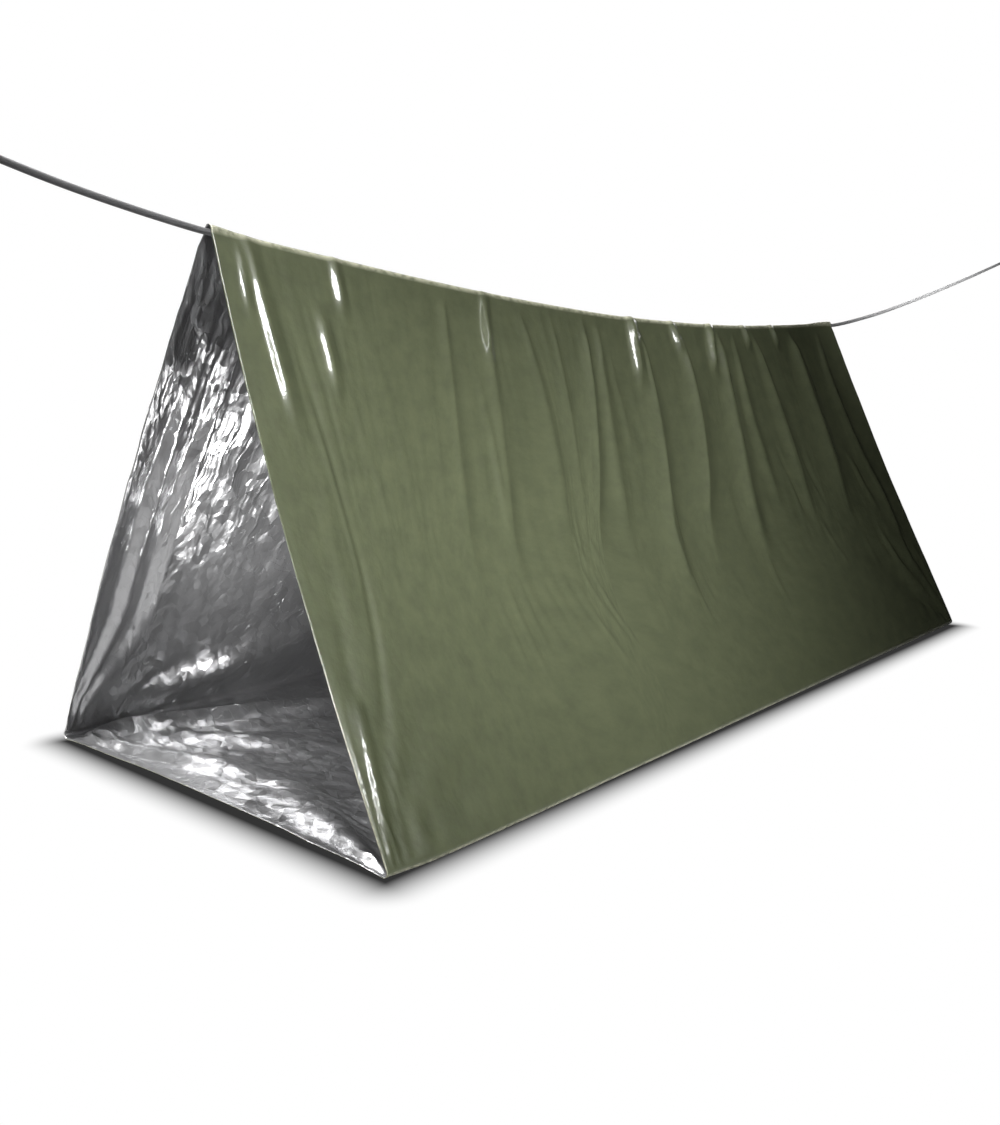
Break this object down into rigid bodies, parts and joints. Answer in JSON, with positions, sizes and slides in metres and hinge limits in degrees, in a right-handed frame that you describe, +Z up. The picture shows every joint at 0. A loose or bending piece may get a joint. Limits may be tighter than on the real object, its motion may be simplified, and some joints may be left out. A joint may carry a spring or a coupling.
{
  "type": "emergency tube tent on a ridge rope",
  "caption": "Open-ended triangular emergency shelter: a sleeve of metallised film with its own floor, hung over a sagging ridge rope that ends in knotted loops.",
  "frame": {"origin": "on the ground, below the middle of the sleeve", "axes": "+X across the tent, +Y along the ridge towards its far end, +Z up; -Y is the end whose inside shows in the picture"},
  "size_m": [0.9547, 4.8014, 1.3508],
  "materials": {
    "film": "thin glossy film, olive green outside and bright aluminised silver inside",
    "rope": "smooth braided synthetic cord, mid grey"
  },
  "bodies": {
    "root": {"film_sleeve": "film", "ridge_rope": "rope", "near_knot": "rope", "near_loop": "rope", "far_knot": "rope", "far_loop": "rope"}
  },
  "joints": []
}
